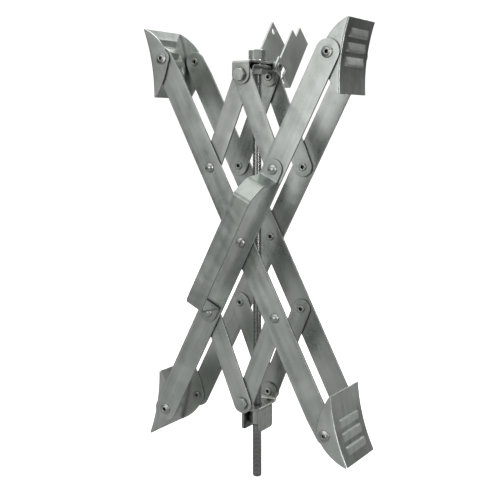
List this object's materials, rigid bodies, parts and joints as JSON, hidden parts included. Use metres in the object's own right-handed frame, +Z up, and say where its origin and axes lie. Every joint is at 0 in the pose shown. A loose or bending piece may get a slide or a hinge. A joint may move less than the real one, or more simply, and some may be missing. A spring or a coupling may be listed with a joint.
{
  "type": "scissor wheel stabiliser",
  "caption": "Folding X-shaped clamp of flat steel straps that a lead screw opens between two tandem tyres, with curved ribbed pads, a grab handle and a flip-over lock cover.",
  "frame": {"origin": "where the centre pivot's axis crosses the lead screw's axis", "axes": "+Z up the lead screw to its hexagon head; X from tyre to tyre; -Y the front, with the grab handle"},
  "size_m": [0.2967, 0.1974, 0.5995],
  "materials": {
    "sheet_zinc": "satin zinc plating on rolled strap",
    "rivet_zinc": "bright zinc plating, formed heads",
    "fastener_zinc": "bright zinc plating, turned",
    "screw_steel": "dull zinc plating with a trace of oil"
  },
  "bodies": {
    "centre": {"centre_rivets": "rivet_zinc"},
    "arm_a": {"front_arm_a": "sheet_zinc", "rear_arm_a": "sheet_zinc", "grab_handle": "sheet_zinc", "arm_a_link_rivets": "rivet_zinc", "arm_a_pad_rivets": "rivet_zinc"},
    "arm_b": {"front_arm_b": "sheet_zinc", "rear_arm_b": "sheet_zinc", "arm_b_link_rivets": "rivet_zinc", "arm_b_pad_rivets": "rivet_zinc"},
    "upper_right_links": {"front_link_upper_right": "sheet_zinc", "rear_link_upper_right": "sheet_zinc"},
    "upper_left_links": {"front_link_upper_left": "sheet_zinc", "rear_link_upper_left": "sheet_zinc"},
    "lower_right_links": {"front_link_lower_right": "sheet_zinc", "rear_link_lower_right": "sheet_zinc"},
    "lower_left_links": {"front_link_lower_left": "sheet_zinc", "rear_link_lower_left": "sheet_zinc"},
    "head": {"outer_cap": "sheet_zinc", "upper_saddle": "sheet_zinc", "thrust_washer": "fastener_zinc", "upper_pivot_bolts": "fastener_zinc", "cover_hinge_rivets": "rivet_zinc"},
    "screw": {"lead_screw": "screw_steel", "drive_head": "fastener_zinc", "head_washer": "fastener_zinc", "retaining_nut": "fastener_zinc"},
    "nut_head": {"lower_saddle": "sheet_zinc", "drive_nut": "fastener_zinc", "lower_pivot_bolts": "fastener_zinc"},
    "cover": {"lock_cover": "sheet_zinc"},
    "pad_ur": {"pad_upper_right": "sheet_zinc"},
    "pad_ul": {"pad_upper_left": "sheet_zinc"},
    "pad_ll": {"pad_lower_left": "sheet_zinc"},
    "pad_lr": {"pad_lower_right": "sheet_zinc"}
  },
  "joints": [
    {"name": "arm_a_swing", "type": "hinge", "parent": "centre", "child": "arm_a", "pos_m": [0, 0, 0], "axis": [0, 1, 0], "range_deg": [-13, 13]},
    {"name": "screw_spin", "type": "hinge", "parent": "head", "child": "screw", "pos_m": [0, 0, 0.2084], "axis": [0, 0, 1], "range_deg": [-7850, 7850]},
    {"name": "arm_b_swing", "type": "hinge", "parent": "centre", "child": "arm_b", "pos_m": [0, 0, 0], "axis": [0, 1, 0], "range_deg": [-13.2, 13.2]},
    {"name": "upper_right_link_swing", "type": "hinge", "parent": "arm_a", "child": "upper_right_links", "pos_m": [0.04722, 0, 0.09266], "axis": [0, 1, 0], "range_deg": [-23.56, 23.56]},
    {"name": "upper_left_link_swing", "type": "hinge", "parent": "arm_b", "child": "upper_left_links", "pos_m": [-0.04722, 0, 0.09266], "axis": [0, 1, 0], "range_deg": [-23.56, 23.56]},
    {"name": "lower_right_link_swing", "type": "hinge", "parent": "arm_b", "child": "lower_right_links", "pos_m": [0.04722, 0, -0.09266], "axis": [0, 1, 0], "range_deg": [-23.56, 23.56]},
    {"name": "lower_left_link_swing", "type": "hinge", "parent": "arm_a", "child": "lower_left_links", "pos_m": [-0.04722, 0, -0.09266], "axis": [0, 1, 0], "range_deg": [-23.56, 23.56]},
    {"name": "head_level", "type": "hinge", "parent": "upper_right_links", "child": "head", "pos_m": [0, 0, 0.2084], "axis": [0, 1, 0], "range_deg": [-10.56, 10.56]},
    {"name": "nut_head_level", "type": "hinge", "parent": "lower_right_links", "child": "nut_head", "pos_m": [0, 0, -0.2084], "axis": [0, 1, 0], "range_deg": [-10.56, 10.56]},
    {"name": "cover_flip", "type": "hinge", "parent": "head", "child": "cover", "pos_m": [0, 0.024, 0.2204], "axis": [1, 0, 0], "range_deg": [0, 130]},
    {"name": "pad_upper_right_swivel", "type": "hinge", "parent": "arm_a", "child": "pad_ur", "pos_m": [0.11804, 0, 0.23166], "axis": [0, 1, 0], "range_deg": [-25, 25]},
    {"name": "pad_lower_left_swivel", "type": "hinge", "parent": "arm_a", "child": "pad_ll", "pos_m": [-0.11804, 0, -0.23166], "axis": [0, 1, 0], "range_deg": [-25, 25]},
    {"name": "pad_upper_left_swivel", "type": "hinge", "parent": "arm_b", "child": "pad_ul", "pos_m": [-0.11804, 0, 0.23166], "axis": [0, 1, 0], "range_deg": [-8, 25]},
    {"name": "pad_lower_right_swivel", "type": "hinge", "parent": "arm_b", "child": "pad_lr", "pos_m": [0.11804, 0, -0.23166], "axis": [0, 1, 0], "range_deg": [-5, 25]}
  ],
  "couplings": [
    {"joint": "screw_spin", "follows": "arm_a_swing", "ratio": -602.29},
    {"joint": "arm_b_swing", "follows": "arm_a_swing", "ratio": -1},
    {"joint": "upper_right_link_swing", "follows": "arm_a_swing", "ratio": -1.7969},
    {"joint": "upper_left_link_swing", "follows": "arm_a_swing", "ratio": 1.7969},
    {"joint": "lower_right_link_swing", "follows": "arm_a_swing", "ratio": 1.7969},
    {"joint": "lower_left_link_swing", "follows": "arm_a_swing", "ratio": -1.7969},
    {"joint": "head_level", "follows": "arm_a_swing", "ratio": 0.79687},
    {"joint": "nut_head_level", "follows": "arm_a_swing", "ratio": -0.79687}
  ]
}
